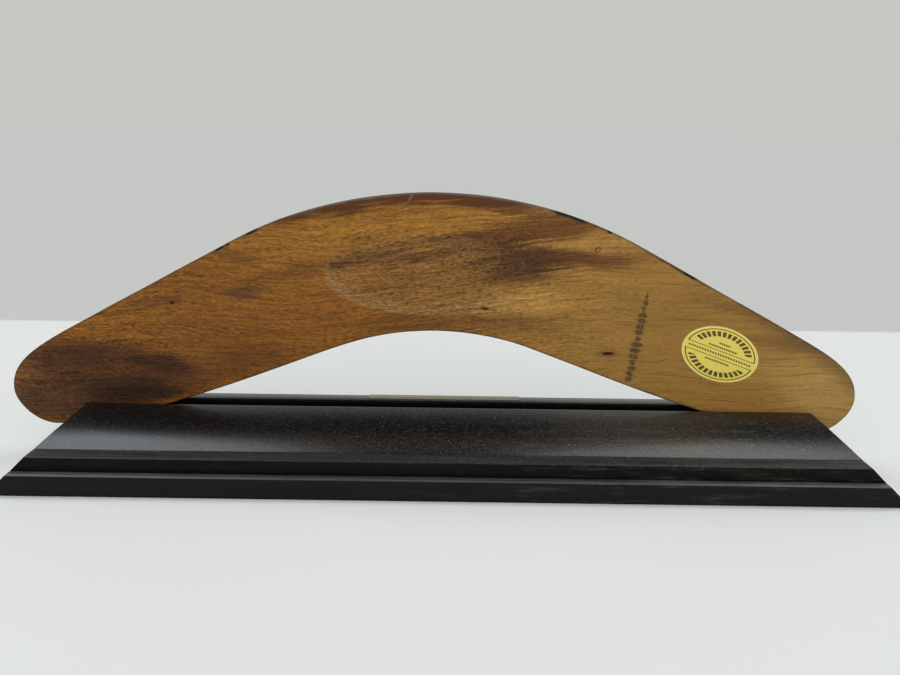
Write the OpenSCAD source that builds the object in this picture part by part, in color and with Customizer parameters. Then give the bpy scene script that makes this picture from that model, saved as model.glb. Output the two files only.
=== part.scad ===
// Wooden boomerang standing in the slot of a moulded display stand.
// Millimetres. +X along the stand, +Z up, the plain back of the boomerang faces -Y.
// The origin is on the table, under the middle of the stand.

/* [Boomerang] */
// Tip-to-tip length
span = 401.6; // [396:0.2:406]
// Height of the elbow's top above the lowest point of the tips
rise = 112.5; // [110:0.5:115]
// Width of the wood at the elbow
elbow_w = 63.7; // [60:0.1:66]
// Thickness at the crown
blade_t = 7; // [6:0.1:8]
// Thickness left at the edge
edge_t = 3; // [2.5:0.1:3.5]
// Radius of the elbow's outer edge
outer_r = 200; // [190:1:210]
// Slope that the outer edge reaches, in degrees
outer_slope = 28.2; // [27:0.1:29]
// Radius of the elbow's inner edge
inner_r = 129; // [115:1:135]
// Slope that the inner edge reaches, in degrees
inner_slope = 18.4; // [17:0.1:19.5]
// How far the elbow stands left of the stand's middle
blade_offset = 7.1; // [0:0.1:9]

/* [Label] */
// Length of the oval label
label_l = 38; // [30:0.5:40]
// Width of the oval label
label_w = 26; // [20:0.5:28]
// Thickness of the label
label_t = 0.15; // [0.1:0.05:0.3]
// Angle of the label, in degrees below level
label_angle = 20; // [0:1:30]

/* [Stand] */
// Height of the stand
stand_h = 26.5; // [25:0.1:28]
// Depth of the base board, front to back
stand_d = 60.8; // [59:0.1:66]
// Length along the top of the stand
stand_top_l = 345.4; // [330:0.2:360]
// Slant of the end cuts, in degrees from vertical
end_angle = 45.9; // [35:0.1:50]
// Width of the slot that holds the boomerang
slot_w = 9; // [8.6:0.1:10]
// Depth of the slot
slot_depth = 11.6; // [9:0.1:13]
// Thickness of the rail behind the slot
rail_t = 7.4; // [7.2:0.1:9]

/* [Moulding] */
// Height of the moulding's front lip above the table
lip_z = 16.7; // [15:0.1:18]
// Width of the level lip
lip_w = 7.9; // [7:0.1:10]
// Radius of the moulding's round top
round_r = 70; // [64:1:80]
// Rounding along the front edges of the moulding and of the base board
edge_round = 0.8; // [0.4:0.1:1]

/* [Base board] */
// Thickness of the base board
base_t = 9.8; // [9:0.1:11]
// Width of the ledge in front of the moulding
ledge_w = 3.8; // [3:0.1:5]

/* [Hardware] */
// Spacing of the screws along the stand
screw_pitch = 140; // [100:1:155]
// Length of a screw
screw_l = 16; // [14:0.5:18]
// Diameter of a screw's shank
screw_d = 3.5; // [3:0.5:4]
// Length of the name plate
plate_l = 76; // [60:1:90]
// Width of the name plate
plate_w = 4.6; // [4:0.1:6]
// Thickness of the name plate
plate_t = 0.4; // [0.3:0.1:0.6]

/* [Hidden] */
$fn = 64;

wood_colour = [0.60, 0.42, 0.20];
label_colour = [0.88, 0.78, 0.36];
stand_colour = [0.10, 0.10, 0.11];
steel_colour = [0.70, 0.70, 0.72];
brass_colour = [0.72, 0.66, 0.48];

// The slot runs along the stand, in front of the rail.
stand_back_y = stand_d / 2;
slot_back_y = stand_back_y - rail_t;
slot_front_y = slot_back_y - slot_w;
slot_floor = stand_h - slot_depth;

// The boomerang stands in the middle of the slot, and this far off its floor, so that it
// lifts out freely.
rest_gap = 0.3;
blade_y = (slot_front_y + slot_back_y) / 2;
blade_bottom = slot_floor + rest_gap;

// Outline of one arm. u runs out from the elbow, v up from the lowest point of the tips.
tip_u = span / 2;
tip_v = 17.3;
tip_start_u = 165;
tip_low_u = 182;
upper_pull = 25.5;
end_pull_up = 14;
end_pull_down = 7;
lower_pull = 10;
under_pull = 40;
elbow_pull = 28;

function bezier(a, b, c, d, steps) =
    [for (i = [1:steps])
        let (t = i / steps, s = 1 - t)
        s * s * s * a + 3 * s * s * t * b + 3 * s * t * t * c + t * t * t * d];

function elbow_arc(radius, top_v, slope, steps) =
    [for (i = [0:steps])
        let (a = slope * i / steps)
        [radius * sin(a), top_v - radius * (1 - cos(a))]];

function downhill(slope) = [cos(slope), -sin(slope)];
function last(points) = points[len(points) - 1];

outer_elbow = elbow_arc(outer_r, rise, outer_slope, 10);
inner_elbow = elbow_arc(inner_r, rise - elbow_w, inner_slope, 6);
outer_end = last(outer_elbow);
inner_end = last(inner_elbow);
tip_start = outer_end + downhill(outer_slope) * (tip_start_u - outer_end[0]) / cos(outer_slope);

// The pull of each curve's handles sets how full the tip and the underside are.
tip_upper = bezier(tip_start, tip_start + upper_pull * downhill(outer_slope),
                   [tip_u, tip_v + end_pull_up], [tip_u, tip_v], 9);
tip_lower = bezier([tip_u, tip_v], [tip_u, tip_v - end_pull_down],
                   [tip_low_u + lower_pull, 0], [tip_low_u, 0], 6);
underside = bezier([tip_low_u, 0], [tip_low_u - under_pull, 0],
                   inner_end + elbow_pull * downhill(inner_slope), inner_end, 11);

right_arm = concat(outer_elbow, [tip_start], tip_upper, tip_lower, underside,
                   [for (i = [len(inner_elbow) - 2:-1:0]) inner_elbow[i]]);
left_arm = [for (i = [len(right_arm) - 2:-1:1]) [-right_arm[i][0], right_arm[i][1]]];
outline = concat(right_arm, left_arm);
outline_n = len(outline);

// How far the outline is drawn in at each level, and the level's place through the thickness.
back_y = -blade_t / 2;
edge_y = back_y + edge_t;
crown_y = blade_t / 2;
levels = [
    [1.0, back_y],
    [0.3, back_y + 0.3],
    [0.0, back_y + 1.0],
    [0.0, edge_y - 0.9],
    [0.4, edge_y - 0.1],
    [3.0, edge_y + 0.35 * (crown_y - edge_y)],
    [7.0, edge_y + 0.72 * (crown_y - edge_y)],
    [12.0, crown_y]
];

function inward(i) =
    let (before = outline[(i + outline_n - 1) % outline_n],
         after = outline[(i + 1) % outline_n],
         along = after - before)
    [along[1], -along[0]] / norm(along);

// The stand's front, from its base upwards.
stand_front_y = -stand_d / 2;
riser_y = stand_front_y + ledge_w;
round_foot_y = riser_y + lip_w;
// The round top runs from its foot on the lip up to the slot's edge.
round_run = slot_front_y - round_foot_y;
round_drop = stand_h - lip_z;
round_half_angle = asin(norm([round_run, round_drop]) / (2 * round_r));
round_lean = atan2(round_drop, round_run);
round_top_slope = round_lean - round_half_angle;
round_foot_slope = round_lean + round_half_angle;

top_half = stand_top_l / 2;
foot_half = top_half + stand_h * tan(end_angle);

screw_xs = [-screw_pitch, 0, screw_pitch];
front_screw_y = -8;
rail_screw_y = slot_back_y + rail_t / 2;
screw_z = 0.6;
screw_head_r = screw_d;
screw_head_h = 2.2;
screw_point_h = 3.5;
screw_point_d = 0.6;
recess_l = 4;
recess_w = 0.9;
recess_h = 1.2;

label_x = 126.8;
label_z = 54.6;
label_sides = 48;

plate_x = -2.5;
plate_margin = 0.4;
plate_y = stand_back_y - plate_margin - plate_w / 2;
plate_corner_r = 2;

// Points of a quarter circle, from the given direction round to the left.
function quarter(centre, radius, from) =
    [for (i = [0:6]) centre + radius * [cos(from + 15 * i), sin(from + 15 * i)]];

// Everything between the slanted end cuts.
module between_end_cuts() {
    rotate([90, 0, 0])
        translate([0, 0, -stand_d])
            linear_extrude(2 * stand_d)
                polygon([[-foot_half, 0], [foot_half, 0], [top_half, stand_h], [-top_half, stand_h]]);
}

// A plane figure drawn with Y across and Z up, run along the stand to its end cuts.
module along_stand() {
    intersection() {
        rotate([90, 0, 90])
            translate([0, 0, -foot_half])
                linear_extrude(2 * foot_half)
                    children();
        between_end_cuts();
    }
}

module blade() {
    points = [for (level = levels, i = [0:outline_n - 1])
        let (p = outline[i] + level[0] * inward(i))
        [p[0] - blade_offset, blade_y + level[1], p[1] + blade_bottom]];
    top = len(levels) - 1;
    sides = [for (j = [0:top - 1], i = [0:outline_n - 1])
        let (next = (i + 1) % outline_n)
        [j * outline_n + i, (j + 1) * outline_n + i,
         (j + 1) * outline_n + next, j * outline_n + next]];
    back_face = [for (i = [0:outline_n - 1]) i];
    crown_face = [for (i = [outline_n - 1:-1:0]) top * outline_n + i];
    color(wood_colour)
        polyhedron(points, concat([back_face], sides, [crown_face]), convexity = 6);
}

module certificate_label() {
    oval = [for (i = [0:label_sides - 1])
        let (a = 360 * i / label_sides)
        [label_l / 2 * cos(a), label_w / 2 * sin(a)]];
    color(label_colour)
        translate([label_x, blade_y + back_y, label_z])
            rotate([90, label_angle, 0])
                linear_extrude(label_t)
                    polygon(oval);
}

// Shank holes for the row of screws at the given depth in the stand, up to their points.
module pilot_holes(y) {
    for (x = screw_xs)
        translate([x, y, 0])
            cylinder(h = screw_z + screw_l, d = screw_d);
}

module front_moulding_section() {
    round_centre = [slot_front_y, stand_h] + round_r * [sin(round_top_slope), -cos(round_top_slope)];
    round_steps = 10;
    polygon(concat(
        [[slot_front_y, base_t]],
        [for (i = [0:round_steps])
            let (a = round_top_slope + (round_foot_slope - round_top_slope) * i / round_steps)
            round_centre + round_r * [-sin(a), cos(a)]],
        quarter([riser_y + edge_round, lip_z - edge_round], edge_round, 90),
        [[riser_y, base_t]]));
}

module front_moulding() {
    color(stand_colour)
        difference() {
            along_stand()
                front_moulding_section();
            pilot_holes(front_screw_y);
        }
}

module rear_rail() {
    color(stand_colour)
        difference() {
            along_stand()
                translate([slot_back_y, base_t])
                    square([rail_t, stand_h - base_t]);
            pilot_holes(rail_screw_y);
        }
}

module spacer_strip() {
    color(stand_colour)
        along_stand()
            translate([slot_front_y, base_t])
                square([slot_w, slot_floor - base_t]);
}

module base_board_section() {
    polygon(concat(
        [[stand_front_y, 0], [stand_back_y, 0], [stand_back_y, base_t]],
        quarter([stand_front_y + edge_round, base_t - edge_round], edge_round, 90)));
}

module base_board() {
    color(stand_colour)
        difference() {
            along_stand()
                base_board_section();
            for (y = [front_screw_y, rail_screw_y]) {
                pilot_holes(y);
                for (x = screw_xs)
                    translate([x, y, 0]) {
                        cylinder(h = screw_z, r = screw_head_r);
                        translate([0, 0, screw_z])
                            cylinder(h = screw_head_h, r1 = screw_head_r, r2 = screw_d / 2);
                    }
            }
        }
}

// A countersunk wood screw, head down, with a cross recess.
module wood_screw() {
    difference() {
        union() {
            cylinder(h = screw_head_h, r1 = screw_head_r, r2 = screw_d / 2);
            cylinder(h = screw_l - screw_point_h, d = screw_d);
            translate([0, 0, screw_l - screw_point_h])
                cylinder(h = screw_point_h, d1 = screw_d, d2 = screw_point_d);
        }
        for (turn = [0, 90])
            rotate([0, 0, turn])
                translate([-recess_l / 2, -recess_w / 2, -recess_h])
                    cube([recess_l, recess_w, 2 * recess_h]);
    }
}

module base_screws() {
    color(steel_colour)
        for (x = screw_xs, y = [front_screw_y, rail_screw_y])
            translate([x, y, screw_z])
                wood_screw();
}

module name_plate() {
    inner_l = plate_l - 2 * plate_corner_r;
    inner_w = plate_w - 2 * plate_corner_r;
    color(brass_colour)
        translate([plate_x, plate_y, stand_h])
            linear_extrude(plate_t)
                union() {
                    square([plate_l, inner_w], center = true);
                    square([inner_l, plate_w], center = true);
                    for (x = [-1, 1], y = [-1, 1])
                        translate([x * inner_l / 2, y * inner_w / 2])
                            circle(plate_corner_r);
                }
}

blade();
certificate_label();
front_moulding();
rear_rail();
spacer_strip();
base_board();
base_screws();
name_plate();
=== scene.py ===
"""A wooden boomerang standing in a slotted black display stand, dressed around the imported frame.

+X runs along the stand, +Y away from the camera and +Z up. Shapes are worked out in millimetres
and handed to Blender in metres.
"""
import math

import bmesh
import bpy
import numpy as np
from mathutils import Matrix, Vector, noise
from mathutils.geometry import delaunay_2d_cdt


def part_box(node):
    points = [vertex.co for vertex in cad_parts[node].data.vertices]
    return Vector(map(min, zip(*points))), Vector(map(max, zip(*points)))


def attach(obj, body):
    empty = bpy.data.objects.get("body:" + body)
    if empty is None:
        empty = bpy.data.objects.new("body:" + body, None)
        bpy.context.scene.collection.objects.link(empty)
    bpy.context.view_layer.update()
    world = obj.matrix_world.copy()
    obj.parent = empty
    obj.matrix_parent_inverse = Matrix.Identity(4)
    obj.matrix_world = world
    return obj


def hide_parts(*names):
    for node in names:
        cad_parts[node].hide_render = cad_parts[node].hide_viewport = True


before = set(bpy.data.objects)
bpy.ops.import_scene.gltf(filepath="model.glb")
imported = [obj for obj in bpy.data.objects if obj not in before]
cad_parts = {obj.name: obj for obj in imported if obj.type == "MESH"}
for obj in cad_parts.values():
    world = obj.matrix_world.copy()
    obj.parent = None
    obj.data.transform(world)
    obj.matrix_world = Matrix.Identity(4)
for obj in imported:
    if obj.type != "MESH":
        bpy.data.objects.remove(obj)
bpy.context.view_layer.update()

MM = 0.001


def box_mm(node):
    """The lowest and highest corner of a CAD node, in millimetres."""
    low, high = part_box(node)
    return low / MM, high / MM


# ---------------------------------------------------------------- sizes, from the frame

BLADE_LOW, BLADE_HIGH = box_mm("blade")
SPAN = BLADE_HIGH.x - BLADE_LOW.x
RISE = BLADE_HIGH.z - BLADE_LOW.z
ELBOW_X = (BLADE_LOW.x + BLADE_HIGH.x) / 2
BACK_Y = BLADE_LOW.y
CROWN_Y = BLADE_HIGH.y
# The painted face meets the edge here, and reaches its full height this far in.
EDGE_Y = BACK_Y + 3.0
CROWN_REACH = 14

# The boomerang's outline, as in the CAD model.
ELBOW_WIDTH = 63.7
OUTER_RADIUS = 200
OUTER_SLOPE = math.radians(28.2)
INNER_RADIUS = 129
INNER_SLOPE = math.radians(18.4)
TIP_START = 165
TIP_HEIGHT = 17.3
TIP_FOOT = 182

# The distance between the points that fill the two faces, and the back's rounded edge.
FILL_STEP = 2.4
ARRIS = 1.0

# The oval that was sanded to take a motif, its middle and half sizes on the back.
SANDED_MIDDLE = (-10.6, 75.2)
SANDED_SIZE = (47.0, 18.6)

LABEL_LOW, LABEL_HIGH = box_mm("certificate_label")
LABEL_X = (LABEL_LOW.x + LABEL_HIGH.x) / 2
LABEL_Z = (LABEL_LOW.z + LABEL_HIGH.z) / 2
LABEL_HALF = (19.0, 13.0)
LABEL_TILT = math.radians(-20)
LABEL_THICK = 0.15

MOULDING_LOW, MOULDING_HIGH = box_mm("front_moulding")
RAIL_LOW, RAIL_HIGH = box_mm("rear_rail")
SPACER_LOW, SPACER_HIGH = box_mm("spacer_strip")
BASE_LOW, BASE_HIGH = box_mm("base_board")
STAND_TOP = RAIL_HIGH.z
# How far the slanted ends run out for each millimetre down.
END_RUN = math.tan(math.radians(45.9))
TOP_HALF = BASE_HIGH.x - END_RUN * STAND_TOP
LIP_Z = 16.7
LIP_WIDTH = 7.9
ROUND_RADIUS = 70
EDGE_ROUND = 0.8

PLATE_LOW, PLATE_HIGH = box_mm("name_plate")

# Where the table's end turns to wall grey, between these distances behind the object.
TABLE_END = (265, 272)

# The camera: place in metres, pitch down, roll, and focal length for a 36 mm sensor.
CAMERA_PLACE = (0, -0.3297, 0.157)
CAMERA_PITCH = math.radians(15.55)
CAMERA_ROLL = math.radians(0.79)
SENSOR_WIDTH = 36
LENS = 30.64


# ---------------------------------------------------------------- mesh helpers

def make_object(name, points, faces, material, smooth_angle=35):
    """A mesh object from points in millimetres, shaded smooth up to an angle in degrees."""
    mesh = bpy.data.meshes.new(name)
    mesh.from_pydata([[c * MM for c in p] for p in points], [], faces)
    mesh.validate()
    piece = bpy.data.objects.new(name, mesh)
    bpy.context.scene.collection.objects.link(piece)
    mesh.materials.append(material)
    finish_surface(piece, smooth_angle)
    return piece


def finish_surface(piece, smooth_angle):
    """Outward normals, smooth faces, and sharp edges past the angle."""
    work = bmesh.new()
    work.from_mesh(piece.data)
    bmesh.ops.recalc_face_normals(work, faces=work.faces)
    work.to_mesh(piece.data)
    work.free()
    piece.data.shade_smooth()
    piece.data.set_sharp_from_angle(angle=math.radians(smooth_angle))


def apply_modifiers(piece):
    """Writes the modifiers' result into the mesh."""
    bpy.context.view_layer.update()
    graph = bpy.context.evaluated_depsgraph_get()
    result = bpy.data.meshes.new_from_object(piece.evaluated_get(graph))
    piece.modifiers.clear()
    piece.data = result


def bevel(piece, width, segments=2, angle=30):
    """Rounds every edge sharper than the angle, then shades the piece again."""
    modifier = piece.modifiers.new("bevel", "BEVEL")
    modifier.width = width * MM
    modifier.segments = segments
    modifier.limit_method = "ANGLE"
    modifier.angle_limit = math.radians(angle)
    apply_modifiers(piece)
    finish_surface(piece, 50)


def dress(piece, body, slot, *nodes):
    """The piece rides on a body and stands for CAD nodes, which are hidden. slot is not used."""
    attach(piece, body)
    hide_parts(*nodes)


def wall_faces(start, around, rings):
    """Quads between each ring of points and the next, from the point numbered start."""
    faces = []
    for j in range(rings - 1):
        for i in range(around):
            a = start + j * around + i
            b = start + j * around + (i + 1) % around
            faces.append([a, a + around, b + around, b])
    return faces


def tube_faces(start, around, rings):
    """A closed tube's faces: its walls, and a cap on its first and its last ring."""
    last = start + (rings - 1) * around
    caps = [[start + i for i in range(around)], [last + around - 1 - i for i in range(around)]]
    return wall_faces(start, around, rings) + caps


def fill(ring, step):
    """Points and triangles over the inside of a closed ring, with a regular grid in its middle."""
    ring = np.array(ring)
    low, high = ring.min(0), ring.max(0)
    across = np.arange(low[0], high[0], step)
    up = np.arange(low[1], high[1], step * 0.87)
    grid = np.array([[a + (step / 2 if j % 2 else 0), b] for j, b in enumerate(up) for a in across])
    keep = inside(grid, ring) & (distance_to(grid, ring) > 0.55 * step)
    points = [Vector(p) for p in ring] + [Vector(p) for p in grid[keep]]
    count = len(ring)
    loop = list(range(count))
    edges = [(i, (i + 1) % count) for i in loop]
    verts, _, faces, _, _, _ = delaunay_2d_cdt(points, edges, [loop], 1, 1e-6)
    return np.array([list(v) for v in verts]), [list(f) for f in faces]


def distance_to(points, ring):
    """Each point's distance to a closed ring."""
    best = np.full(len(points), 1e9)
    for a, b in zip(ring, np.roll(ring, -1, axis=0)):
        along = b - a
        t = np.clip((points - a) @ along / max(along @ along, 1e-12), 0, 1)
        best = np.minimum(best, np.linalg.norm(points - (a + t[:, None] * along), axis=1))
    return best


def inside(points, ring):
    """Whether each point lies inside a closed ring."""
    result = np.zeros(len(points), bool)
    for a, b in zip(ring, np.roll(ring, -1, axis=0)):
        crosses = (a[1] > points[:, 1]) != (b[1] > points[:, 1])
        if a[1] != b[1]:
            at = a[0] + (points[:, 1] - a[1]) / (b[1] - a[1]) * (b[0] - a[0])
            result ^= crosses & (points[:, 0] < at)
    return result


# ---------------------------------------------------------------- shader helpers

def rgb(red, green, blue):
    """A colour given as display values from 0 to 255, as the linear colour that shaders use."""
    def linear(value):
        share = value / 255
        return share / 12.92 if share <= 0.04045 else ((share + 0.055) / 1.055) ** 2.4
    return (linear(red), linear(green), linear(blue), 1.0)


class Finish:
    """One procedural material. Its methods add nodes and return their output sockets."""

    def __init__(self, name, **settings):
        self.material = bpy.data.materials.new(name)
        self.material.use_nodes = True
        self.tree = self.material.node_tree
        self.surface = self.tree.nodes["Principled BSDF"]
        for socket, value in settings.items():
            self.surface.inputs[socket.replace("_", " ")].default_value = value
        place = self.tree.nodes.new("ShaderNodeTexCoord").outputs["Object"]
        self.place = self.vector("SCALE", place, scale=1 / MM)
        self.x, self.y, self.z = self.split(self.place)

    def put(self, socket, value):
        if isinstance(value, bpy.types.NodeSocket):
            self.tree.links.new(value, socket)
        elif value is not None:
            socket.default_value = value

    def vector(self, operation, a, b=None, scale=None):
        node = self.tree.nodes.new("ShaderNodeVectorMath")
        node.operation = operation
        self.put(node.inputs[0], a[:3] if isinstance(a, tuple) else a)
        self.put(node.inputs[1], b)
        self.put(node.inputs[3], scale)
        return node.outputs[1 if operation == "LENGTH" else 0]

    def split(self, vector):
        node = self.tree.nodes.new("ShaderNodeSeparateXYZ")
        self.put(node.inputs[0], vector)
        return node.outputs[0], node.outputs[1], node.outputs[2]

    def join(self, x, y, z=0.0):
        node = self.tree.nodes.new("ShaderNodeCombineXYZ")
        for socket, value in zip(node.inputs, (x, y, z)):
            self.put(socket, value)
        return node.outputs[0]

    def math(self, operation, a, b=None):
        node = self.tree.nodes.new("ShaderNodeMath")
        node.operation = operation
        self.put(node.inputs[0], a)
        self.put(node.inputs[1], b)
        return node.outputs[0]

    def add(self, *values):
        total = values[0]
        for value in values[1:]:
            total = self.math("ADD", total, value)
        return total

    def times(self, *values):
        product = values[0]
        for value in values[1:]:
            product = self.math("MULTIPLY", product, value)
        return product

    def absolute(self, value):
        return self.math("ABSOLUTE", value)

    def most(self, *values):
        top = values[0]
        for value in values[1:]:
            top = self.math("MAXIMUM", top, value)
        return top

    def ease(self, value, start, end, low=0.0, high=1.0):
        """Goes smoothly from low to high as value goes from start to end."""
        node = self.tree.nodes.new("ShaderNodeMapRange")
        node.interpolation_type = "SMOOTHSTEP"
        for socket, given in zip(node.inputs, (value, start, end, low, high)):
            self.put(socket, given)
        return node.outputs[0]

    def band(self, value, middle, half, soft):
        """1 within half of the middle, fading to 0 over soft."""
        off = self.absolute(self.math("SUBTRACT", value, middle))
        return self.ease(off, half + soft, half)

    def noise(self, point, along, across, seed=0.0, detail=2.0, roughness=0.5, deep=None):
        """Noise from 0 to 1 whose features measure along by across (by deep) millimetres."""
        node = self.tree.nodes.new("ShaderNodeTexNoise")
        size = (along, across, deep or across)
        scaled = self.vector("DIVIDE", point, size)
        self.put(node.inputs["Vector"], self.vector("ADD", scaled, (seed, 1.7 * seed, 0.6 * seed)))
        node.inputs["Scale"].default_value = 1.0
        node.inputs["Detail"].default_value = detail
        node.inputs["Roughness"].default_value = roughness
        return node.outputs[0]

    def wander(self, amount, *pattern):
        """Noise of a pattern that swings from minus half the amount to half of it."""
        return self.times(self.add(self.noise(*pattern), -0.5), amount)

    def specks(self, point, size, seed):
        """Millimetres to the nearest of a scatter of points size apart, and its random colour."""
        node = self.tree.nodes.new("ShaderNodeTexVoronoi")
        scaled = self.vector("SCALE", point, scale=1 / size)
        self.put(node.inputs["Vector"], self.vector("ADD", scaled, (seed, seed, seed)))
        node.inputs["Scale"].default_value = 1.0
        return self.times(node.outputs["Distance"], size), node.outputs["Color"]

    def turned(self, point, middle, tilt, size=(1, 1)):
        """The point seen from a frame that lies at middle, turned by tilt, in units of size."""
        node = self.tree.nodes.new("ShaderNodeMapping")
        node.vector_type = "TEXTURE"
        self.put(node.inputs["Vector"], point)
        node.inputs["Location"].default_value = (*middle, 0)
        node.inputs["Rotation"].default_value = (0, 0, tilt)
        node.inputs["Scale"].default_value = (*size, 1)
        return node.outputs[0]

    def oval(self, point, middle, size, tilt, soft):
        """1 inside an oval tilted by degrees, fading to 0 over a share of its size."""
        local = self.turned(point, middle, math.radians(tilt), size)
        return self.ease(self.vector("LENGTH", local), 1 + soft, 1 - soft)

    def blend(self, amount, a, b):
        """Colour a turning into colour b as amount goes from 0 to 1."""
        node = self.tree.nodes.new("ShaderNodeMix")
        node.data_type = "RGBA"
        self.put(node.inputs[0], amount)
        self.put(node.inputs[6], a)
        self.put(node.inputs[7], b)
        return node.outputs[2]

    def shade(self, colour, value, low, high):
        """The colour made darker or lighter, times low to high as value goes from 0 to 1."""
        factor = self.add(low, self.times(value, high - low))
        return self.vector("SCALE", colour, scale=factor)

    def attribute(self, name):
        node = self.tree.nodes.new("ShaderNodeAttribute")
        node.attribute_name = name
        return node.outputs["Fac"]

    def bump(self, height, depth):
        """Relief of a depth in millimetres."""
        node = self.tree.nodes.new("ShaderNodeBump")
        node.inputs["Strength"].default_value = 1.0
        node.inputs["Distance"].default_value = depth * MM
        self.put(node.inputs["Height"], height)
        return node.outputs[0]

    def set(self, socket, value):
        self.put(self.surface.inputs[socket], value)

    def done(self):
        return self.material


# ---------------------------------------------------------------- the boomerang's shape

def bezier(a, b, c, d, steps):
    """Points along a cubic curve, without its first."""
    a, b, c, d = (np.array(p, float) for p in (a, b, c, d))
    points = []
    for i in range(1, steps + 1):
        t = i / steps
        s = 1 - t
        points.append(s ** 3 * a + 3 * s * s * t * b + 3 * s * t * t * c + t ** 3 * d)
    return points


def elbow_arc(radius, top, slope, steps):
    """Points from the elbow's middle outwards, until the arc reaches its slope."""
    angles = [slope * i / steps for i in range(steps + 1)]
    return [np.array([radius * math.sin(a), top - radius * (1 - math.cos(a))]) for a in angles]


def downhill(slope):
    return np.array([math.cos(slope), -math.sin(slope)])


def blade_outline():
    """The closed outline, clockwise from the elbow's top, around the elbow's middle and foot."""
    tip_x = SPAN / 2
    straight_steps = 38
    # How far each curve's handles reach, from the outer edge round the tip to the inner edge.
    outer_pull, tip_pull_up, tip_pull_down, foot_pull_out, foot_pull_in, inner_pull = 25.5, 14, 7, 10, 40, 28
    outer = elbow_arc(OUTER_RADIUS, RISE, OUTER_SLOPE, 48)
    inner = elbow_arc(INNER_RADIUS, RISE - ELBOW_WIDTH, INNER_SLOPE, 22)
    down = downhill(OUTER_SLOPE)
    run = (TIP_START - outer[-1][0]) / math.cos(OUTER_SLOPE)
    straight = [outer[-1] + down * run * i / straight_steps for i in range(1, straight_steps + 1)]
    tip = (tip_x, TIP_HEIGHT)
    foot = (TIP_FOOT, 0)
    upper = bezier(straight[-1], straight[-1] + outer_pull * down, (tip_x, TIP_HEIGHT + tip_pull_up), tip, 28)
    lower = bezier(tip, (tip_x, TIP_HEIGHT - tip_pull_down), (TIP_FOOT + foot_pull_out, 0), foot, 14)
    under = bezier(foot, (TIP_FOOT - foot_pull_in, 0),
                   inner[-1] + inner_pull * downhill(INNER_SLOPE), inner[-1], 68)
    right = outer + straight + upper + lower + under + inner[-2::-1]
    left = [np.array([-p[0], p[1]]) for p in right[-2:0:-1]]
    return np.array(right + left) + np.array([ELBOW_X, BLADE_LOW.z])


def inset(outline, distance):
    """The outline drawn in by a distance."""
    along = np.roll(outline, -1, axis=0) - np.roll(outline, 1, axis=0)
    along /= np.linalg.norm(along, axis=1)[:, None]
    return outline + distance * np.stack([along[:, 1], -along[:, 0]], axis=1)


def crown_height(depth):
    """The painted face's height at a distance in from the edge."""
    share = np.minimum(depth / CROWN_REACH, 1)
    return EDGE_Y + (CROWN_Y - EDGE_Y) * (1 - (1 - share) ** 2)


def sanding_hollow(points):
    """How deep the sanded oval is hollowed at each point of the back."""
    deepest = 0.07
    middle = np.array(SANDED_MIDDLE) + np.array([0, BLADE_LOW.z])
    off = (points - middle) / np.array(SANDED_SIZE)
    reach = np.clip(1 - (off ** 2).sum(1), 0, 1)
    return deepest * reach ** 0.7


def hand_finish(points, size, seed):
    """Slow, shallow waves left by hand shaping, from -1 to 1."""
    return np.array([noise.noise(Vector((p[0] / size, p[1] / size, seed))) for p in points])


def blade_levels():
    """The rings of points from the back round the edge to the crown: (depth in from the edge, height)."""
    quarter = [math.radians(90 * i / 5) for i in range(6)]
    levels = [(FILL_STEP, BACK_Y)]
    levels += [(ARRIS * (1 - math.sin(a)), BACK_Y + ARRIS * (1 - math.cos(a))) for a in quarter]
    levels += [(0.0, EDGE_Y - 1.2), (0.05, EDGE_Y - 0.75), (0.4, EDGE_Y - 0.1)]
    levels += [(depth, float(crown_height(depth))) for depth in (1.0, 2.0, 3.5, 5.5)]
    return levels


def back_height(flat, depth):
    """The back's height at points of it: level at the edge, then waved and hollowed."""
    blend_in = np.clip((depth - FILL_STEP) / 6, 0, 1)
    waves = 0.05 * hand_finish(flat, 26, 8.0) * blend_in
    return BACK_Y + np.maximum(0, waves + sanding_hollow(flat) * blend_in)


def make_blade(material):
    """Flat back, rounded arrises, crowned front, and the distance from the edge as an attribute."""
    outline = blade_outline()
    count = len(outline)
    wobble = 0.12 * hand_finish(outline, 22, 3.0)
    levels = blade_levels()
    points = []
    depths = []
    for depth, y in levels:
        ring = inset(outline, depth + wobble[:, None])
        points += [[p[0], y, p[1]] for p in ring]
        depths += [depth] * count
    faces = wall_faces(0, count, len(levels))
    for level, on_back in ((0, True), (len(levels) - 1, False)):
        ring = np.array(points)[level * count:(level + 1) * count][:, [0, 2]]
        flat, triangles = fill(ring, FILL_STEP)
        depth = distance_to(flat, outline)
        y = back_height(flat, depth) if on_back else crown_height(depth)
        # The fill keeps the ring's points first, so they are shared with the ring.
        start = len(points) - count
        points += [[p[0], h, p[1]] for p, h in zip(flat[count:], y[count:])]
        depths += list(depth[count:])
        index = [level * count + i if i < count else start + i for i in range(len(flat))]
        faces += [[index[i] for i in f] for f in triangles]
    piece = make_object("blade_wood", points, faces, material)
    rim = piece.data.attributes.new("from_edge", "FLOAT", "POINT")
    rim.data.foreach_set("value", np.array(depths, np.float32))
    dress(piece, "boomerang", "varnished_wood", "blade")


# ---------------------------------------------------------------- the boomerang's wood

AMBER = rgb(137, 87, 27)
TAN = rgb(158, 117, 55)
HONEY = rgb(162, 112, 42)
HEARTWOOD = rgb(78, 44, 20)
RUST = rgb(98, 56, 24)
SANDED = rgb(136, 103, 60)
PALE_RIM = rgb(160, 130, 86)
SOOT = rgb(22, 22, 20)
INK = rgb(38, 36, 32)


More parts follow.
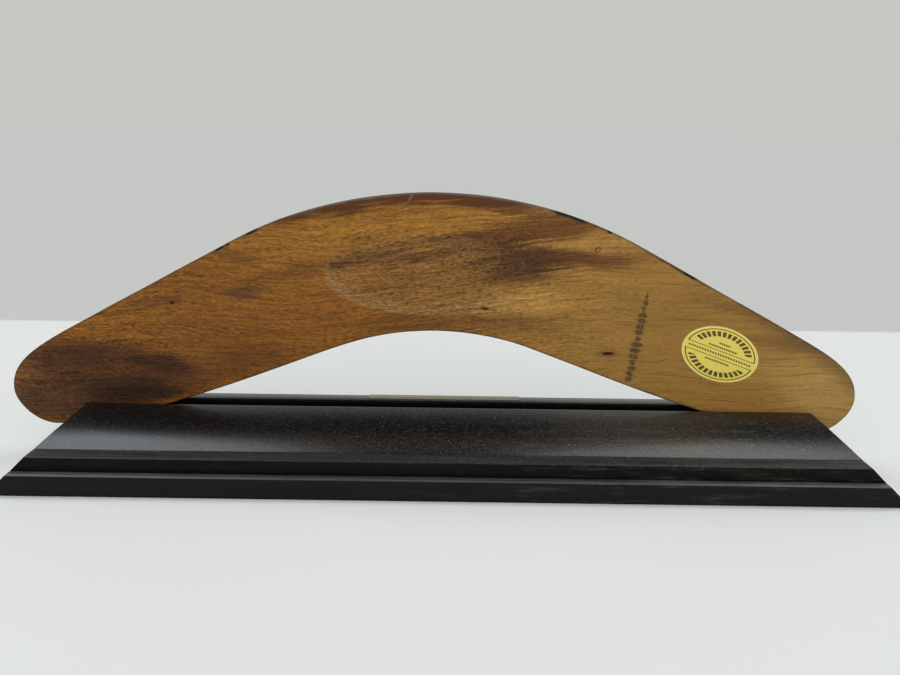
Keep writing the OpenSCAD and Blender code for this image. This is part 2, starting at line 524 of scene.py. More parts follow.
def wood_grain(f, flat):
    """Grain coordinates: level along the arms, climbing to the right across the elbow."""
    climb = f.ease(f.x, -70, 75, 0, 15)
    sway = f.wander(9, flat, 46, 20, 4.0, 1)
    across = f.add(f.z, f.times(climb, -1), sway)
    return f.join(f.x, across, f.times(f.y, 0.4))


def wood_stains(f, colour, soft):
    """Heartwood, rust streaks and pale streaks, each at its own place on the back."""
    marks = [
        # colour, middle, half sizes, tilt, softness, strength
        (HONEY, (-42, 96.8), (62, 12), 6, 0.6, 0.75),
        (HONEY, (-62, 79.8), (30, 10), 4, 0.7, 0.3),
        (rgb(108, 68, 30), (-134, 43.8), (54, 8), 8, 0.7, 0.3),
        (rgb(104, 68, 26), (-6, 53.5), (30, 4.6), 4, 0.6, 0.7),
        (rgb(112, 78, 36), (32, 53.8), (22, 5), -8, 0.7, 0.5),
        (HEARTWOOD, (-160, 28.8), (45, 12.5), -6, 0.28, 0.92),
        (rgb(56, 30, 14), (-137, 31.3), (13, 4.5), -10, 0.5, 0.75),
        (rgb(60, 34, 18), (-176, 33.8), (15, 5), 4, 0.6, 0.5),
        (rgb(60, 34, 18), (-158, 19.8), (32, 4), 0, 0.6, 0.7),
        (rgb(92, 60, 38), (-200, 25.8), (8, 16), 0, 0.5, 0.5),
        (rgb(100, 64, 28), (-121, 22.8), (15, 4), 10, 0.6, 0.5),
        (RUST, (38, 95.8), (36, 6), 9, 0.5, 0.85),
        (rgb(96, 60, 28), (62, 101.8), (12, 2.4), 9, 0.6, 0.6),
        (rgb(66, 37, 19), (33, 82.5), (23, 9), 6, 0.45, 0.88),
        (rgb(98, 56, 24), (60, 83.5), (20, 4), -3, 0.6, 0.8),
        (rgb(172, 128, 66), (60, 90.8), (22, 3.2), 4, 0.6, 0.72),
        (rgb(120, 74, 34), (80, 86), (18, 1.6), -2, 0.6, 0.4),
        (rgb(118, 82, 42), (132, 60.8), (24, 3.4), -14, 0.7, 0.6),
        (rgb(112, 78, 42), (150, 44.8), (18, 3.2), -8, 0.7, 0.5),
        (rgb(110, 86, 54), (172, 39.8), (22, 4), -34, 0.6, 0.5),
        (rgb(126, 96, 50), (96, 59.8), (22, 6), -4, 0.8, 0.3),
        (rgb(174, 136, 72), (160, 31.8), (26, 9), -8, 0.7, 0.5),
        (rgb(186, 146, 80), (178, 20), (24, 14), -20, 0.5, 0.75),
        (rgb(180, 136, 68), (28, 62.5), (28, 5.5), 4, 0.5, 0.85),
        (rgb(98, 62, 34), (-98, 83), (8, 3.4), -14, 0.6, 0.6),
        (rgb(88, 58, 34), (-96, 66), (10, 2.6), 6, 0.6, 0.7),
        (rgb(98, 62, 34), (-138, 60.5), (12, 2.4), 10, 0.6, 0.6),
        (rgb(72, 44, 26), (-184, 12), (34, 10), 0, 0.5, 0.85),
        (rgb(40, 23, 12), (-150, 15.5), (22, 5), 4, 0.5, 0.85),
        (rgb(84, 50, 20), (-97, 34), (20, 7), 10, 0.6, 0.6),
        (rgb(98, 60, 26), (-72, 76.5), (20, 2.6), 14, 0.7, 0.6),
        (rgb(70, 44, 28), (4, 91), (12, 2), 6, 0.5, 0.6),
    ]
    for tint, middle, size, tilt, fade, strength in marks:
        mask = f.oval(soft, middle, size, tilt, fade)
        colour = f.blend(f.times(mask, strength), colour, tint)
    return colour


def wood_fibres(f, colour, grain, rough):
    """Broad bands, fine streaks, mottle and open pores along the grain, stronger where it is rough."""
    # Strong over the left arm, most of all at its tip, and faint towards the right tip.
    strength = f.add(f.ease(f.x, 20, 115, 1.15, 0.33), f.ease(f.x, -110, -150, 0, 0.55), f.times(rough, 0.25))
    layers = [
        # length, width, detail, darkest, lightest
        (90, 7, 3, 0.80, 1.20),
        (34, 1.5, 3, 0.55, 1.45),
        (8, 1.0, 2, 0.48, 1.52),
        (2.4, 0.7, 2, 0.15, 1.85),
    ]
    texture = 0.0
    for seed, (along, across, detail, low, high) in enumerate(layers):
        texture = f.add(texture, f.wander(high - low, grain, along, across, seed + 1.0, detail, 0.6))
    colour = f.vector("SCALE", colour, scale=f.most(0.25, f.add(1.0, f.times(texture, strength))))
    streaks = f.ease(f.noise(grain, 30, 0.8, 5.0, 2), 0.56, 0.7)
    colour = f.blend(f.times(streaks, 0.4), colour, rgb(82, 45, 19))
    pores = f.ease(f.noise(grain, 2.6, 0.5, 6.0, 1), 0.62, 0.74)
    open_pores = f.times(pores, f.add(0.3, f.times(rough, 0.3)))
    return f.blend(open_pores, colour, rgb(66, 38, 18)), pores


def sanded_oval(f, colour, flat, grain, soft):
    """The sanded patch: greyer and rough, with a pale rim at its lower left and a dark band."""
    fade_right = f.ease(f.x, 34, -6, 0.25, 1)
    mask = f.times(f.oval(flat, SANDED_MIDDLE, SANDED_SIZE, 0.8, 0.03), fade_right)
    inner = f.oval(flat, (SANDED_MIDDLE[0] + 3, SANDED_MIDDLE[1] + 4.5), SANDED_SIZE, 0.8, 0.16)
    crescent = f.times(mask, f.math("SUBTRACT", 1, inner))
    worn = f.blend(f.times(mask, 0.42), colour, SANDED)
    worn = f.blend(f.times(crescent, 0.34), worn, PALE_RIM)
    streak = f.times(f.oval(soft, (-24, 83.4), (32, 2.6), 8, 0.5), mask)
    worn = f.blend(f.times(streak, 0.6), worn, rgb(92, 64, 38))
    dash = f.times(f.oval(flat, (-48, 80.3), (10, 0.8), 3, 0.6), mask)
    worn = f.blend(f.times(dash, 0.75), worn, rgb(80, 42, 26))
    pits = f.ease(f.noise(grain, 2.4, 0.9, 9.0, 3, 0.6), 0.52, 0.66)
    worn = f.blend(f.times(pits, mask, 0.6), worn, rgb(88, 54, 26))
    return worn, mask, f.times(pits, mask)


def knots(f, colour, flat):
    """Small pits and a ring knot."""
    jitter = f.vector("SCALE", f.join(f.noise(flat, 2, 2, 2.0), f.noise(flat, 2, 2, 7.0)), scale=0.8)
    near = f.vector("ADD", flat, f.vector("SUBTRACT", jitter, (0.4, 0.4, 0)))
    spots = [((74.2, 39.1), (2.8, 0.8), 2), ((16, 60), (1.9, 0.5), -6), ((-128.5, 60.8), (1.3, 0.8), 8)]
    for middle, size, tilt in spots:
        halo = f.oval(near, middle, (size[0] * 1.8, size[1] * 2.2), tilt, 0.6)
        colour = f.blend(f.times(halo, 0.45), colour, RUST)
        colour = f.blend(f.oval(near, middle, size, tilt, 0.3), colour, rgb(44, 20, 12))
    ring = f.times(f.oval(near, (66.3, 88.1), (1.5, 1.1), 20, 0.3),
                   f.math("SUBTRACT", 1, f.oval(near, (66.5, 88), (0.7, 0.5), 20, 0.4)))
    return f.blend(f.times(ring, 0.8), colour, rgb(60, 40, 24))


def ink_marks(f, colour, flat):
    """A row of plain ink dabs down the right arm, of uneven width."""
    low = Vector((84.7, 24.9))
    high = Vector((90.6, 68.6))
    lean = math.atan2(low.x - high.x, high.y - low.y)
    length = (high - low).length
    pitch = 2.9
    across, along, _ = f.split(f.turned(flat, low, lean))
    across = f.add(across, f.wander(2.6, flat, 3, 3, 12.0))
    along = f.add(along, f.wander(2.2, flat, 2, 2, 14.0))
    step = f.math("FLOOR", f.times(along, 1 / pitch))
    within = f.add(along, f.times(step, -pitch), -pitch / 2)
    random = f.tree.nodes.new("ShaderNodeTexWhiteNoise")
    random.noise_dimensions = "1D"
    f.put(random.inputs["W"], f.add(step, 5.5))
    spread = f.times(f.ease(along, 42, 24, 0.7, 2.1), f.ease(along, 3, 14, 0.6, 1))
    width = f.times(spread, f.add(0.7, f.times(random.outputs["Value"], 0.9)))
    reach = f.vector("LENGTH", f.join(f.math("DIVIDE", across, width), f.times(within, 1 / 1.25)))
    dab = f.ease(reach, 1.15, 0.75)
    ends = f.times(f.ease(along, -0.5, 0.5), f.ease(along, length + 0.5, length - 0.5))
    patchy = f.ease(f.noise(flat, 0.9, 1.6, 16.0, 3, 0.6), 0.35, 0.55, 0.55, 1)
    smear = f.times(f.ease(f.absolute(across), f.times(spread, 1.6), 0), ends, 0.3)
    return f.blend(f.most(f.times(dab, ends, patchy, 0.78), smear), colour, INK)


def edge_marks(f, colour, flat, grain):
    """The darkened rim, the dark heartwood along the top, a painted shadow near the right tip, a painted
    highlight along the top edge, a chip and overruns of black paint.
    """
    rim = f.attribute("from_edge")
    rough_rim = f.add(rim, f.wander(1.6, flat, 5, 5, 21.0, 3))
    over_top = f.oval(flat, (-22, 110.5), (68, 17), 4, 0.25)
    reach = f.add(rim, f.wander(-12, flat, 26, 6, 23.0, 3))
    streaky = f.add(reach, f.wander(13, grain, 40, 1.1, 25.0, 3))
    heart = f.times(f.ease(streaky, 7.5, 2.5), over_top)
    colour = f.blend(f.times(heart, 0.92), colour, rgb(82, 44, 20))
    tip_shadow = f.times(f.oval(flat, (168, 41.8), (34, 14), -32, 0.4), f.ease(reach, 10, 0))
    colour = f.blend(f.times(tip_shadow, 0.55), colour, rgb(92, 72, 46))
    colour = f.blend(f.times(f.ease(rough_rim, 1.3, 0.1), 0.55), colour, rgb(54, 34, 22))
    # Painted highlight: a grey-blue sheen on the rim along the top edge, standing in for the light caught
    # there.
    painted_edge_highlight = f.times(f.ease(rough_rim, 1.1, 0.5), f.oval(flat, (-14, 105.8), (58, 14), 0, 0.2))
    colour = f.blend(f.times(painted_edge_highlight, 0.5), colour, rgb(122, 114, 116))
    jagged = f.vector("ADD", flat, f.join(f.times(f.noise(flat, 1, 1, 2.0), 1.5), 0))
    chip = f.oval(jagged, (-17.6, 110.2), (0.45, 1.5), -30, 0.5)
    colour = f.blend(f.times(chip, 0.45), colour, rgb(140, 128, 112))
    overruns = [
        # middle, half sizes, tilt
        ((53, 103.4), (8, 4), -20), ((71.4, 96.8), (1.4, 1.6), 0), ((-104.5, 85.4), (2.4, 2), 20),
        ((-101, 87.2), (1.2, 1.4), 20), ((-89.5, 93.2), (3, 2), 24),
        ((-52, 45.2), (3.6, 2), 20), ((84.4, 28.2), (3, 2), -20), ((109.5, 77.4), (4.5, 2.2), -28),
    ]
    paint = f.times(f.oval(flat, (104, 79.3), (14, 4), -29, 0.7), 0.6)
    for middle, size, tilt in overruns:
        paint = f.most(paint, f.oval(flat, middle, size, tilt, 0.3))
    paint = f.times(paint, f.ease(rough_rim, 1.5, 0.9))
    return f.blend(paint, colour, SOOT)


def crown_paint(f, colour, flat):
    """The crowned face: satin black with plain ochre bands, worn thin in places."""
    edge = f.add(f.y, f.wander(1.4, flat, 6, 6, 31.0, 3))
    mask = f.ease(edge, EDGE_Y - 0.9, EDGE_Y - 0.5)
    from_elbow = f.absolute(f.math("SUBTRACT", f.x, ELBOW_X))
    # The bands lie square across each arm, so they lean with its slope.
    arm_slope = 0.42
    above_middle = f.add(f.z, -BLADE_LOW.z - 56)
    lean = f.add(f.times(from_elbow, math.cos(arm_slope)), f.times(above_middle, -math.sin(arm_slope)))
    bands = 0.0
    for place, half in ((62, 1.6), (68, 4.2), (74, 1.6), (150, 1.6), (156, 4.2), (162, 1.6)):
        uneven = f.add(lean, f.times(f.noise(flat, 9, 9, place), 0.8))
        bands = f.most(bands, f.band(uneven, place, half * 0.5, 0.25))
    paint = f.blend(bands, rgb(24, 23, 22), rgb(170, 112, 48))
    paint = f.shade(paint, f.noise(flat, 8, 8, 33.0, 4), 0.8, 1.2)
    worn = f.times(f.ease(f.noise(flat, 5, 2, 35.0, 5, 0.7), 0.66, 0.74), 0.5)
    paint = f.blend(worn, paint, rgb(120, 86, 48))
    return f.blend(mask, colour, paint), mask


def wood_finish():
    """Varnished wood on the back and edges, paint on the crown."""
    f = Finish("varnished_wood", IOR=1.45, Specular_IOR_Level=0.2)
    # Every mark's height is above the boomerang's foot.
    flat = f.join(f.x, f.add(f.z, -BLADE_LOW.z))
    grain = wood_grain(f, flat)
    # The stains' own coordinates are shaken, so that their edges run out in fingers along the grain.
    fingers = f.wander(f.ease(f.x, -120, -10, 24, 70), grain, 60, 1.2, 11.0, 3, 0.65)
    drift = f.wander(9, flat, 24, 10, 13.0, 3)
    soft = f.vector("ADD", flat, f.join(fingers, drift))
    colour = f.blend(f.ease(f.x, -40, 75), AMBER, TAN)
    colour = wood_stains(f, colour, soft)
    colour, mask, pits = sanded_oval(f, colour, flat, grain, soft)
    colour, pores = wood_fibres(f, colour, grain, mask)
    spots = f.ease(f.noise(grain, 1.6, 1.1, 19.0, 2), 0.5, 0.6)
    spotted = f.times(f.oval(flat, (24, 83), (22, 12), 8, 0.5), spots)
    colour = f.blend(f.times(spotted, 0.55), colour, rgb(46, 26, 16))
    colour = knots(f, colour, flat)
    colour = ink_marks(f, colour, flat)
    colour = edge_marks(f, colour, flat, grain)
    colour, crown = crown_paint(f, colour, flat)
    f.set("Base Color", colour)
    roughness = f.add(0.40, f.times(f.noise(grain, 14, 3, 41.0), 0.1), f.times(mask, 0.16))
    f.set("Roughness", f.add(roughness, f.times(crown, f.math("SUBTRACT", 0.34, roughness))))
    fibre = f.noise(grain, 9, 0.5, 43.0, 3)
    relief = f.add(fibre, f.times(f.most(pores, pits), -1.2))
    f.set("Normal", f.bump(f.times(relief, f.math("SUBTRACT", 1, f.times(crown, 0.7))), 0.05))
    return f.done()


# ---------------------------------------------------------------- the label

def label_print(f, along, up):
    """1 where the label is printed, and the reach from its middle, which is 1 at the rim."""
    across = f.times(along, 1 / LABEL_HALF[0])
    rise = f.times(up, 1 / LABEL_HALF[1])
    reach = f.vector("LENGTH", f.join(across, rise))
    angle = f.math("ARCTAN2", rise, across)
    # The strip between the two panels is open at both ends.
    strip_top, strip_foot = 1.6, -2.0
    strip_half = (strip_top - strip_foot) / 2
    off_strip = f.absolute(f.add(up, -(strip_top + strip_foot) / 2))
    outside_strip = f.ease(off_strip, strip_half - 0.1, strip_half)
    ring = f.times(f.band(reach, 0.90, 0.011, 0.01), outside_strip)
    rules = f.times(f.band(off_strip, strip_half, 0.11, 0.09), f.ease(reach, 0.91, 0.90))
    bars_to_half_turn = 17
    bars = f.times(repeat(f, angle, bars_to_half_turn / math.pi, 0.30),
                   f.band(reach, 0.735, 0.085, 0.012),
                   f.ease(off_strip, 3.6, 3.9))
    bead_pitch, dash_pitch = 1.35, 1.1
    beads = f.times(repeat(f, along, 1 / bead_pitch, 0.26),
                    f.band(up, -0.2, 0.42, 0.12),
                    f.ease(reach, 0.86, 0.84))
    lines = 0.0
    for height, half_length in ((5.0, 3.2), (3.1, 7.4), (-3.6, 6.4)):
        within = f.ease(f.absolute(along), half_length, half_length - 0.2)
        dashes = repeat(f, f.add(along, height), 1 / dash_pitch, 0.33)
        lines = f.most(lines, f.times(f.band(up, height, 0.36, 0.1), within, dashes))
    return f.most(ring, rules, bars, beads, lines), reach


def label_finish():
    """Yellow printed paper: two ringed panels, plain bars, beads and rules, and no lettering."""
    f = Finish("label_paper", Roughness=0.5, IOR=1.42)
    along, up, _ = f.split(f.turned(f.join(f.x, f.z), (LABEL_X, LABEL_Z), LABEL_TILT))
    print_mask, reach = label_print(f, along, up)
    worn = f.ease(f.noise(f.place, 0.5, 0.5, 3.0, 2), 0.3, 0.42, 0.8, 1)
    paper = f.shade(rgb(240, 216, 96), f.noise(f.place, 5, 5, 1.0, 4), 0.94, 1.05)
    paper = f.blend(f.ease(reach, 0.93, 0.97), paper, rgb(240, 222, 128))
    paper = f.blend(f.ease(reach, 0.985, 1.0), paper, rgb(170, 148, 70))
    f.set("Base Color", f.blend(f.times(print_mask, worn, 0.93), paper, rgb(42, 42, 20)))
    f.set("Normal", f.bump(f.noise(f.place, 0.6, 0.6, 5.0, 2), 0.01))
    return f.done()


def repeat(f, value, rate, half):
    """1 on evenly repeated bars: rate of them to a unit, each half of a cell either side of its middle."""
    cell = f.math("FRACT", f.times(f.add(value, 100), rate))
    return f.band(cell, 0.5, half, 0.08)


def make_label(material):
    """An oval of paper with a soft cut edge, lying on the back."""
    rings, around = 9, 96
    levels = [(i / rings * 0.985, LABEL_THICK) for i in range(1, rings + 1)]
    levels += [(0.998, LABEL_THICK * 0.8), (1.0, LABEL_THICK * 0.4), (1.0, 0.0)]
    place = Matrix.Rotation(LABEL_TILT, 2)
    points = [[LABEL_X, BACK_Y - LABEL_THICK, LABEL_Z]]
    for share, height in levels:
        for i in range(around):
            a = 2 * math.pi * i / around
            p = place @ Vector((LABEL_HALF[0] * share * math.cos(a), LABEL_HALF[1] * share * math.sin(a)))
            points.append([LABEL_X + p.x, BACK_Y - height, LABEL_Z + p.y])
    faces = [[0, 1 + i, 1 + (i + 1) % around] for i in range(around)]
    faces += wall_faces(1, around, len(levels))
    faces.append([1 + (len(levels) - 1) * around + i for i in range(around)])
    piece = make_object("label_oval", points, faces, material)
    dress(piece, "boomerang", "label_paper", "certificate_label")


# ---------------------------------------------------------------- the stand

def arc(middle, radius, start, end, steps):
    """Points along an arc, angles in degrees."""
    angles = [math.radians(start + (end - start) * i / steps) for i in range(steps + 1)]
    return [(middle[0] + radius * math.cos(a), middle[1] + radius * math.sin(a)) for a in angles]


def moulding_section():
    """Slot wall, round top, lip and riser: (across, up)."""
    run = MOULDING_HIGH.y - MOULDING_LOW.y - LIP_WIDTH
    drop = STAND_TOP - LIP_Z
    lean = math.atan2(drop, run)
    half_angle = math.asin(math.hypot(run, drop) / (2 * ROUND_RADIUS))
    top_slope = lean - half_angle
    middle = (MOULDING_HIGH.y + ROUND_RADIUS * math.sin(top_slope),
              STAND_TOP - ROUND_RADIUS * math.cos(top_slope))
    points = [(MOULDING_HIGH.y, MOULDING_LOW.z)]
    foot_slope = lean + half_angle
    points += arc(middle, ROUND_RADIUS, 90 + math.degrees(top_slope), 90 + math.degrees(foot_slope), 30)
    points += front_edge(MOULDING_LOW.y, LIP_Z)
    return points + [(MOULDING_LOW.y, MOULDING_LOW.z)]


def base_section():
    """Underside, plain back, top and rounded front edge."""
    points = [(BASE_LOW.y, BASE_LOW.z), (BASE_HIGH.y, BASE_LOW.z), (BASE_HIGH.y, BASE_HIGH.z)]
    return points + front_edge(BASE_LOW.y, BASE_HIGH.z)


def front_edge(y, z):
    """The rounded edge between a level top and the front face under it."""
    return arc((y + EDGE_ROUND, z - EDGE_ROUND), EDGE_ROUND, 90, 180, 6)


def box_section(low, high):
    return [(low.y, low.z), (high.y, low.z), (high.y, high.z), (low.y, high.z)]


def swept(name, section, material):
    """A section run along the stand, with both ends cut on the slant."""
    points = []
    for side in (-1, 1):
        for across, up in section:
            points.append([side * (TOP_HALF + END_RUN * (STAND_TOP - up)), across, up])
    return make_object(name, points, tube_faces(0, len(section), 2), material)


def make_front_moulding(material):
    piece = swept("moulding_front", moulding_section(), material)
    bevel(piece, 0.3)
    dress(piece, "stand", "black_moulding", "front_moulding")


def make_rail(material):
    piece = swept("rail_behind_slot", box_section(RAIL_LOW, RAIL_HIGH), material)
    bevel(piece, 0.35)
    dress(piece, "stand", "black_moulding", "rear_rail")


def make_spacer(material):
    piece = swept("slot_floor_strip", box_section(SPACER_LOW, SPACER_HIGH), material)
    bevel(piece, 0.25)
    dress(piece, "stand", "black_moulding", "spacer_strip")


def make_base(material):
    """The base board, with the screws' countersunk holes in its underside."""
    piece = swept("base_body", base_section(), material)
    bevel(piece, 0.35)
    cutter = hole_cutter()
    modifier = piece.modifiers.new("holes", "BOOLEAN")
    modifier.operation = "DIFFERENCE"
    modifier.solver = "EXACT"
    modifier.object = cutter
    apply_modifiers(piece)
    finish_surface(piece, 40)
    bpy.data.objects.remove(cutter)
    dress(piece, "stand", "black_board", "base_board")


def hole_cutter():
    """Six countersunk holes as one solid, placed by the screws and a little wider than them."""
    low, high = box_mm("base_screws")
    head_radius = 3.5
    shank_radius = head_radius / 2
    head_height = 2.2
    slack = 0.05
    profile = [(head_radius + slack, low.z - 2), (head_radius + slack, low.z),
               (shank_radius + slack, low.z + head_height), (shank_radius + slack, BASE_HIGH.z - 2)]
    around = 40
    points = []
    faces = []
    for x in (low.x + head_radius, 0, high.x - head_radius):
        for y in (low.y + head_radius, high.y - head_radius):
            faces += tube_faces(len(points), around, len(profile))
            for radius, z in profile:
                for i in range(around):
                    a = 2 * math.pi * i / around
                    points.append([x + radius * math.cos(a), y + radius * math.sin(a), z])
    return make_object("hole_cutter", points, faces, None)


def lacquer_grit(f, colour, along, facing_up):
    """Grit, more of it to the right, and fine lengthwise lines."""
    grit = f.ease(f.noise(along, 1.6, 0.8, 15.0, 2, 0.6), 0.45, 0.70)
    grit = f.times(grit, facing_up, f.ease(f.x, -150, 120, 0.5, 0.95))
    colour = f.blend(grit, colour, rgb(62, 62, 61))
    lines = f.ease(f.noise(along, 70, 0.35, 3.0, 2), 0.6, 0.78)
    return f.blend(f.times(lines, facing_up, 0.4), colour, rgb(56, 55, 54))


def lacquer_dust(f, colour, facing_up):
    """Specks of dust in three sizes, more of them to the right."""
    crowd = f.ease(f.x, -150, 160, -0.06, 0.16)
    sizes = [
        # distance apart, seed, reach, share that stays clean
        (1.1, 4.0, 0.20, 0.76),
        (2.2, 2.0, 0.26, 0.70),
        (5.5, 9.0, 0.36, 0.80),
    ]
    for apart, seed, reach, clean in sizes:
        off, random = f.specks(f.place, apart, seed)
        pick, bright, _ = f.split(random)
        chosen = f.ease(f.add(pick, crowd), clean, clean + 0.05)
        strength = f.add(0.2, f.times(bright, 0.75))
        dust = f.times(f.ease(off, reach, reach * 0.4), chosen, facing_up, strength)
        colour = f.blend(dust, colour, rgb(168, 166, 160))
    return colour


def lacquer_haze_and_reflection(f, colour, along, facing_up):
    """Cloudy haze towards the right, and a painted reflection of the wooden arm: a brownish patch on the top
    under the right arm.
    """
    haze = f.ease(f.noise(along, 26, 6, 5.0, 5, 0.7), 0.5, 0.8)
    haze = f.times(haze, f.ease(f.x, -40, 90, 0.25, 2.2))
    colour = f.blend(f.times(haze, 0.15), colour, rgb(112, 106, 98))
    # Painted reflection: the wooden arm's brown, seen in the glossy top under it.
    arm_reflection = f.oval(f.join(f.x, f.z), (88, STAND_TOP), (40, 6), 0, 0.6)
    return f.blend(f.times(arm_reflection, facing_up, 0.10), colour, rgb(150, 138, 118)), haze


def rubbed_ledge(f, colour, along, upper, front, ledge):
    """The ledge over the front face, rubbed pale in streaks and along its arris."""
    height, width, strength = ledge
    lying = f.times(f.band(f.z, height, 0.25, 0.35), f.band(f.y, front + width / 2, width / 2, 0.5))
    streaks = f.ease(f.noise(along, 34, 0.5, 7.0 + width, 3, 0.6), 0.42, 0.66)
    streaks = f.add(0.25, f.times(streaks, 0.75))
    arris = f.times(f.band(f.y, front + 0.5, 0.5, 0.5), f.noise(along, 12, 1.2, 9.0, 4, 0.7), 1.3)
    to_the_ends = f.ease(f.absolute(f.x), 50, 160, 0.85, 1.6)
    rubbed = f.times(f.most(streaks, arris), to_the_ends)
    return f.blend(f.times(lying, rubbed, upper, strength), colour, rgb(120, 116, 110))


def slot_shade(f):
    """Painted shade: 1 down in the slot, between its walls and above its floor, where the walls are turned
    black.
    """
    middle = (MOULDING_HIGH.y + RAIL_LOW.y) / 2
    half = (RAIL_LOW.y - MOULDING_HIGH.y) / 2
    return f.times(f.band(f.y, middle, half, 0.1),
                   f.ease(f.z, STAND_TOP - 0.3, STAND_TOP - 1.2),
                   f.ease(f.z, SPACER_HIGH.z - 0.4, SPACER_HIGH.z - 0.1))


def polish(f, upper):
    """1 where the lacquer is polished: the round top's foot, the slot's brink and the rail's top."""
    foot = f.times(f.ease(f.z, STAND_TOP - 3, LIP_Z + 3), f.ease(f.z, LIP_Z + 0.1, LIP_Z + 0.3))
    brink = f.times(f.ease(f.z, STAND_TOP - 2.4, STAND_TOP - 0.3), 0.55)
    before_slot = f.ease(f.y, MOULDING_HIGH.y - 0.2, MOULDING_HIGH.y - 0.6)
    rail_top = f.times(f.ease(f.y, RAIL_LOW.y + 0.1, RAIL_LOW.y + 0.5),
                       f.ease(f.z, RAIL_HIGH.z - 0.6, RAIL_HIGH.z - 0.2), 2)
    return f.times(f.most(foot, brink), f.most(before_slot, rail_top), upper, 0.9)


def lacquer_finish(name, front, black, ledge):
    """Black lacquer with a pale, rubbed ledge, dust where it faces up, a painted reflection of the wood, and
    painted shade down in the slot.

    front is where the upright front face lies, and black its display value. ledge is the ledge
    over it: height, width, and the wear's strength.
    """
    f = Finish(name, IOR=1.40, Specular_IOR_Level=0.10, Coat_Roughness=0.27)
    normal = f.tree.nodes.new("ShaderNodeTexCoord").outputs["Normal"]
    sideways, _, upwards = f.split(normal)
    # 1 on the tops and ledges, 0 on the upright faces and the slanted ends.
    upper = f.times(f.ease(upwards, 0.3, 0.6), f.ease(f.absolute(sideways), 0.5, 0.3))
    facing_up = f.add(0.12, f.times(upper, 0.88))
    along = f.join(f.x, f.add(f.y, f.times(f.z, 1.7)), f.z)
    lighter = black + 8
    clouds = f.noise(along, 60, 8, 1.0, 3)
    colour = f.blend(clouds, rgb(black, black, black), rgb(lighter, lighter, lighter))
    colour = lacquer_grit(f, colour, along, facing_up)
    colour = lacquer_dust(f, colour, facing_up)
    colour, haze = lacquer_haze_and_reflection(f, colour, along, facing_up)
    colour = rubbed_ledge(f, colour, along, upper, front, ledge)
    # Painted shade: the lacquer turns black down in the slot.
    f.set("Base Color", f.blend(f.times(slot_shade(f), 0.95), colour, rgb(0, 0, 0)))
    f.set("Roughness", f.add(0.30, f.times(f.noise(along, 20, 2, 11.0, 3), 0.16), f.times(haze, 0.1)))
    f.set("Coat Weight", polish(f, upper))
    brushed = f.noise(along, 45, 0.5, 13.0, 3)
    f.set("Normal", f.bump(brushed, 0.035))
    return f.done()


# ---------------------------------------------------------------- screws and name plate

def steel_finish():
    """Bright zinc-plated steel with fine turning marks."""
    f = Finish("zinc_steel", Metallic=1.0)
    turning = f.noise(f.place, 6, 6, 1.0, 3, 0.6, 0.15)
    colour = f.shade(rgb(196, 198, 202), f.noise(f.place, 2, 2, 2.0, 4), 0.8, 1.1)
    f.set("Base Color", colour)
    f.set("Roughness", f.add(0.22, f.times(turning, 0.2)))
    f.set("Normal", f.bump(turning, 0.02))
    return f.done()


def make_plate(material):
    """A thin, flat plate with rounded corners."""
    corner = 2.0
    ring = []
    for x, y, start in ((PLATE_HIGH.x - corner, PLATE_HIGH.y - corner, 0),
                        (PLATE_LOW.x + corner, PLATE_HIGH.y - corner, 90),
                        (PLATE_LOW.x + corner, PLATE_LOW.y + corner, 180),
                        (PLATE_HIGH.x - corner, PLATE_LOW.y + corner, 270)):
        ring += arc((x, y), corner, start, start + 90, 10)
    points = [[x, y, z] for z in (PLATE_LOW.z, PLATE_HIGH.z) for x, y in ring]
    piece = make_object("brass_plate", points, tube_faces(0, len(ring), 2), material)
    bevel(piece, 0.1, 2, 60)
    dress(piece, "stand", "plate_brass", "name_plate")


def brass_finish():
    """Satin brass, brushed lengthwise, with an engraved border and no lettering."""
    f = Finish("plate_brass", Metallic=1.0)
    brushed = f.noise(f.place, 30, 0.25, 1.0, 3, 0.6)
    colour = f.shade(rgb(172, 166, 146), f.noise(f.place, 9, 9, 2.0, 4), 0.85, 1.08)
    middle = (PLATE_HIGH + PLATE_LOW) / 2
    half = (PLATE_HIGH - PLATE_LOW) / 2
    off_x = f.math("SUBTRACT", half.x, f.absolute(f.add(f.x, -middle.x)))
    off_y = f.math("SUBTRACT", half.y, f.absolute(f.add(f.y, -middle.y)))
    border = f.band(f.math("MINIMUM", off_x, off_y), 0.9, 0.08, 0.06)
    f.set("Base Color", f.blend(f.times(border, 0.7), colour, rgb(70, 58, 34)))
    f.set("Roughness", f.add(0.28, f.times(brushed, 0.18)))
    f.set("Normal", f.bump(f.add(brushed, f.times(border, -2)), 0.03))
    return f.done()


# ---------------------------------------------------------------- floor, lights and camera

def make_floor():
    """A pale table top that turns to wall grey well behind the object."""
    f = Finish("pale_floor", Roughness=0.55, IOR=1.4)
    back_line = f.ease(f.y, *TABLE_END)
    table = f.shade(rgb(245, 246, 243), f.noise(f.place, 160, 160, 2.0, 3), 0.985, 1.015)
    colour = f.blend(back_line, table, rgb(213, 213, 209))
    f.set("Base Color", colour)
    size = 30000
    corners = [[-size, -size, 0], [size, -size, 0], [size, size, 0], [-size, size, 0]]
    make_object("floor", corners, [[0, 1, 2, 3]], f.done())


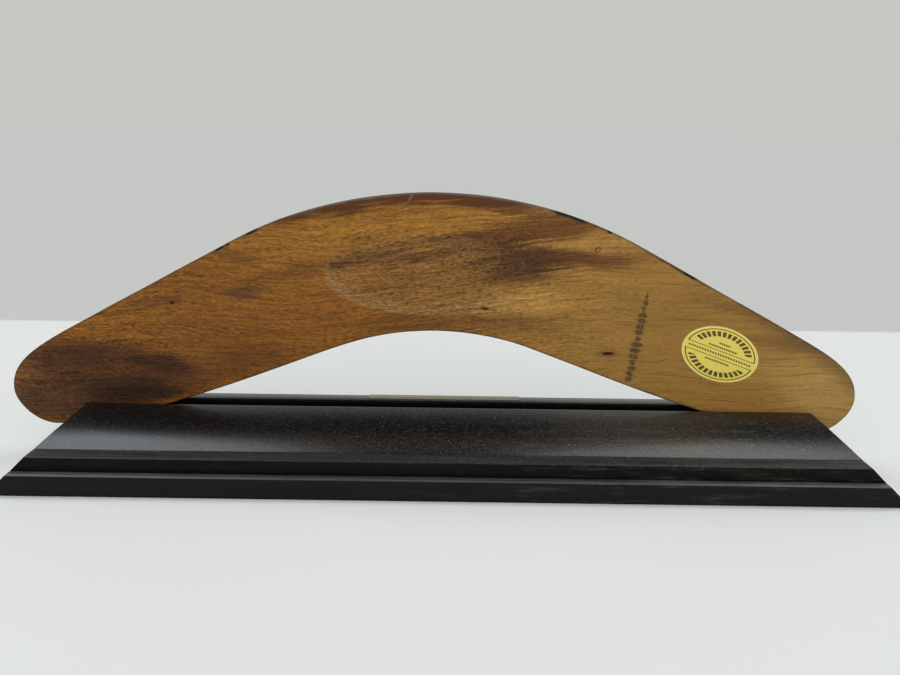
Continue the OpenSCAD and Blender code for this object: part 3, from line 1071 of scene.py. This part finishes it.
def make_world():
    """Wall grey near the horizon, turning to a dimmer ceiling between two heights."""
    wall_top, ceiling = 0.38, 0.78
    world = bpy.data.worlds.new("studio")
    bpy.context.scene.world = world
    world.use_nodes = True
    tree = world.node_tree
    background = tree.nodes["Background"]
    direction = tree.nodes.new("ShaderNodeTexCoord").outputs["Generated"]
    parts = tree.nodes.new("ShaderNodeSeparateXYZ")
    tree.links.new(direction, parts.inputs[0])
    height = tree.nodes.new("ShaderNodeMapRange")
    height.interpolation_type = "SMOOTHSTEP"
    tree.links.new(parts.outputs[2], height.inputs[0])
    height.inputs[1].default_value = wall_top
    height.inputs[2].default_value = ceiling
    mix = tree.nodes.new("ShaderNodeMix")
    mix.data_type = "RGBA"
    tree.links.new(height.outputs[0], mix.inputs[0])
    mix.inputs[6].default_value = rgb(200, 200, 197)
    mix.inputs[7].default_value = rgb(62, 64, 68)
    tree.links.new(mix.outputs[2], background.inputs[0])
    background.inputs[1].default_value = 1.0


def soft_light(name, azimuth, elevation, spread, strength, colour):
    """A wide, distant light. Azimuth 0 is in front of the object, positive to the right."""
    light = bpy.data.lights.new(name, "SUN")
    light.angle = math.radians(spread)
    light.energy = strength
    light.color = colour
    holder = bpy.data.objects.new(name, light)
    az, el = math.radians(azimuth), math.radians(elevation)
    source = Vector((math.sin(az) * math.cos(el), -math.cos(az) * math.cos(el), math.sin(el)))
    holder.rotation_euler = source.to_track_quat("Z", "Y").to_euler()
    bpy.context.scene.collection.objects.link(holder)


def make_camera():
    """In front, above, pitched down and rolled slightly."""
    forward = Vector((0, math.cos(CAMERA_PITCH), -math.sin(CAMERA_PITCH)))
    right = Vector((1, 0, 0))
    down = Vector((0, -math.sin(CAMERA_PITCH), -math.cos(CAMERA_PITCH)))
    image_right = math.cos(CAMERA_ROLL) * right - math.sin(CAMERA_ROLL) * down
    image_down = math.cos(CAMERA_ROLL) * down + math.sin(CAMERA_ROLL) * right
    data = bpy.data.cameras.new("camera")
    data.sensor_width = SENSOR_WIDTH
    data.lens = LENS
    data.clip_start = 0.01
    data.clip_end = 200
    camera = bpy.data.objects.new("camera", data)
    turn = Matrix((image_right, -image_down, -forward)).transposed().to_4x4()
    camera.matrix_world = Matrix.Translation(CAMERA_PLACE) @ turn
    bpy.context.scene.collection.objects.link(camera)
    bpy.context.scene.camera = camera


# ---------------------------------------------------------------- the scene

bpy.context.scene.view_settings.view_transform = "Standard"

make_camera()
make_world()
make_floor()
soft_light("front_light", 0, 42, 84, 1.12, (1.0, 1.0, 1.0))
soft_light("left_light", -115, 57, 32, 0.80, (0.88, 0.95, 1.0))
soft_light("right_light", 112, 63, 32, 0.72, (0.97, 0.99, 1.0))

make_blade(wood_finish())
make_label(label_finish())

moulding_black = lacquer_finish("black_moulding", MOULDING_LOW.y, 7, (LIP_Z, LIP_WIDTH, 0.22))
# Painted light: the base board takes a lighter copy of the same black lacquer, so its upright face reads
# brighter than the moulding's riser.
brighter_board_black = lacquer_finish("black_board", BASE_LOW.y, 20, (BASE_HIGH.z, MOULDING_LOW.y - BASE_LOW.y, 0.6))
make_front_moulding(moulding_black)
make_rail(moulding_black)
make_spacer(moulding_black)
make_base(brighter_board_black)
make_plate(brass_finish())

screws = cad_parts["base_screws"]
screws.data.materials.clear()
screws.data.materials.append(steel_finish())
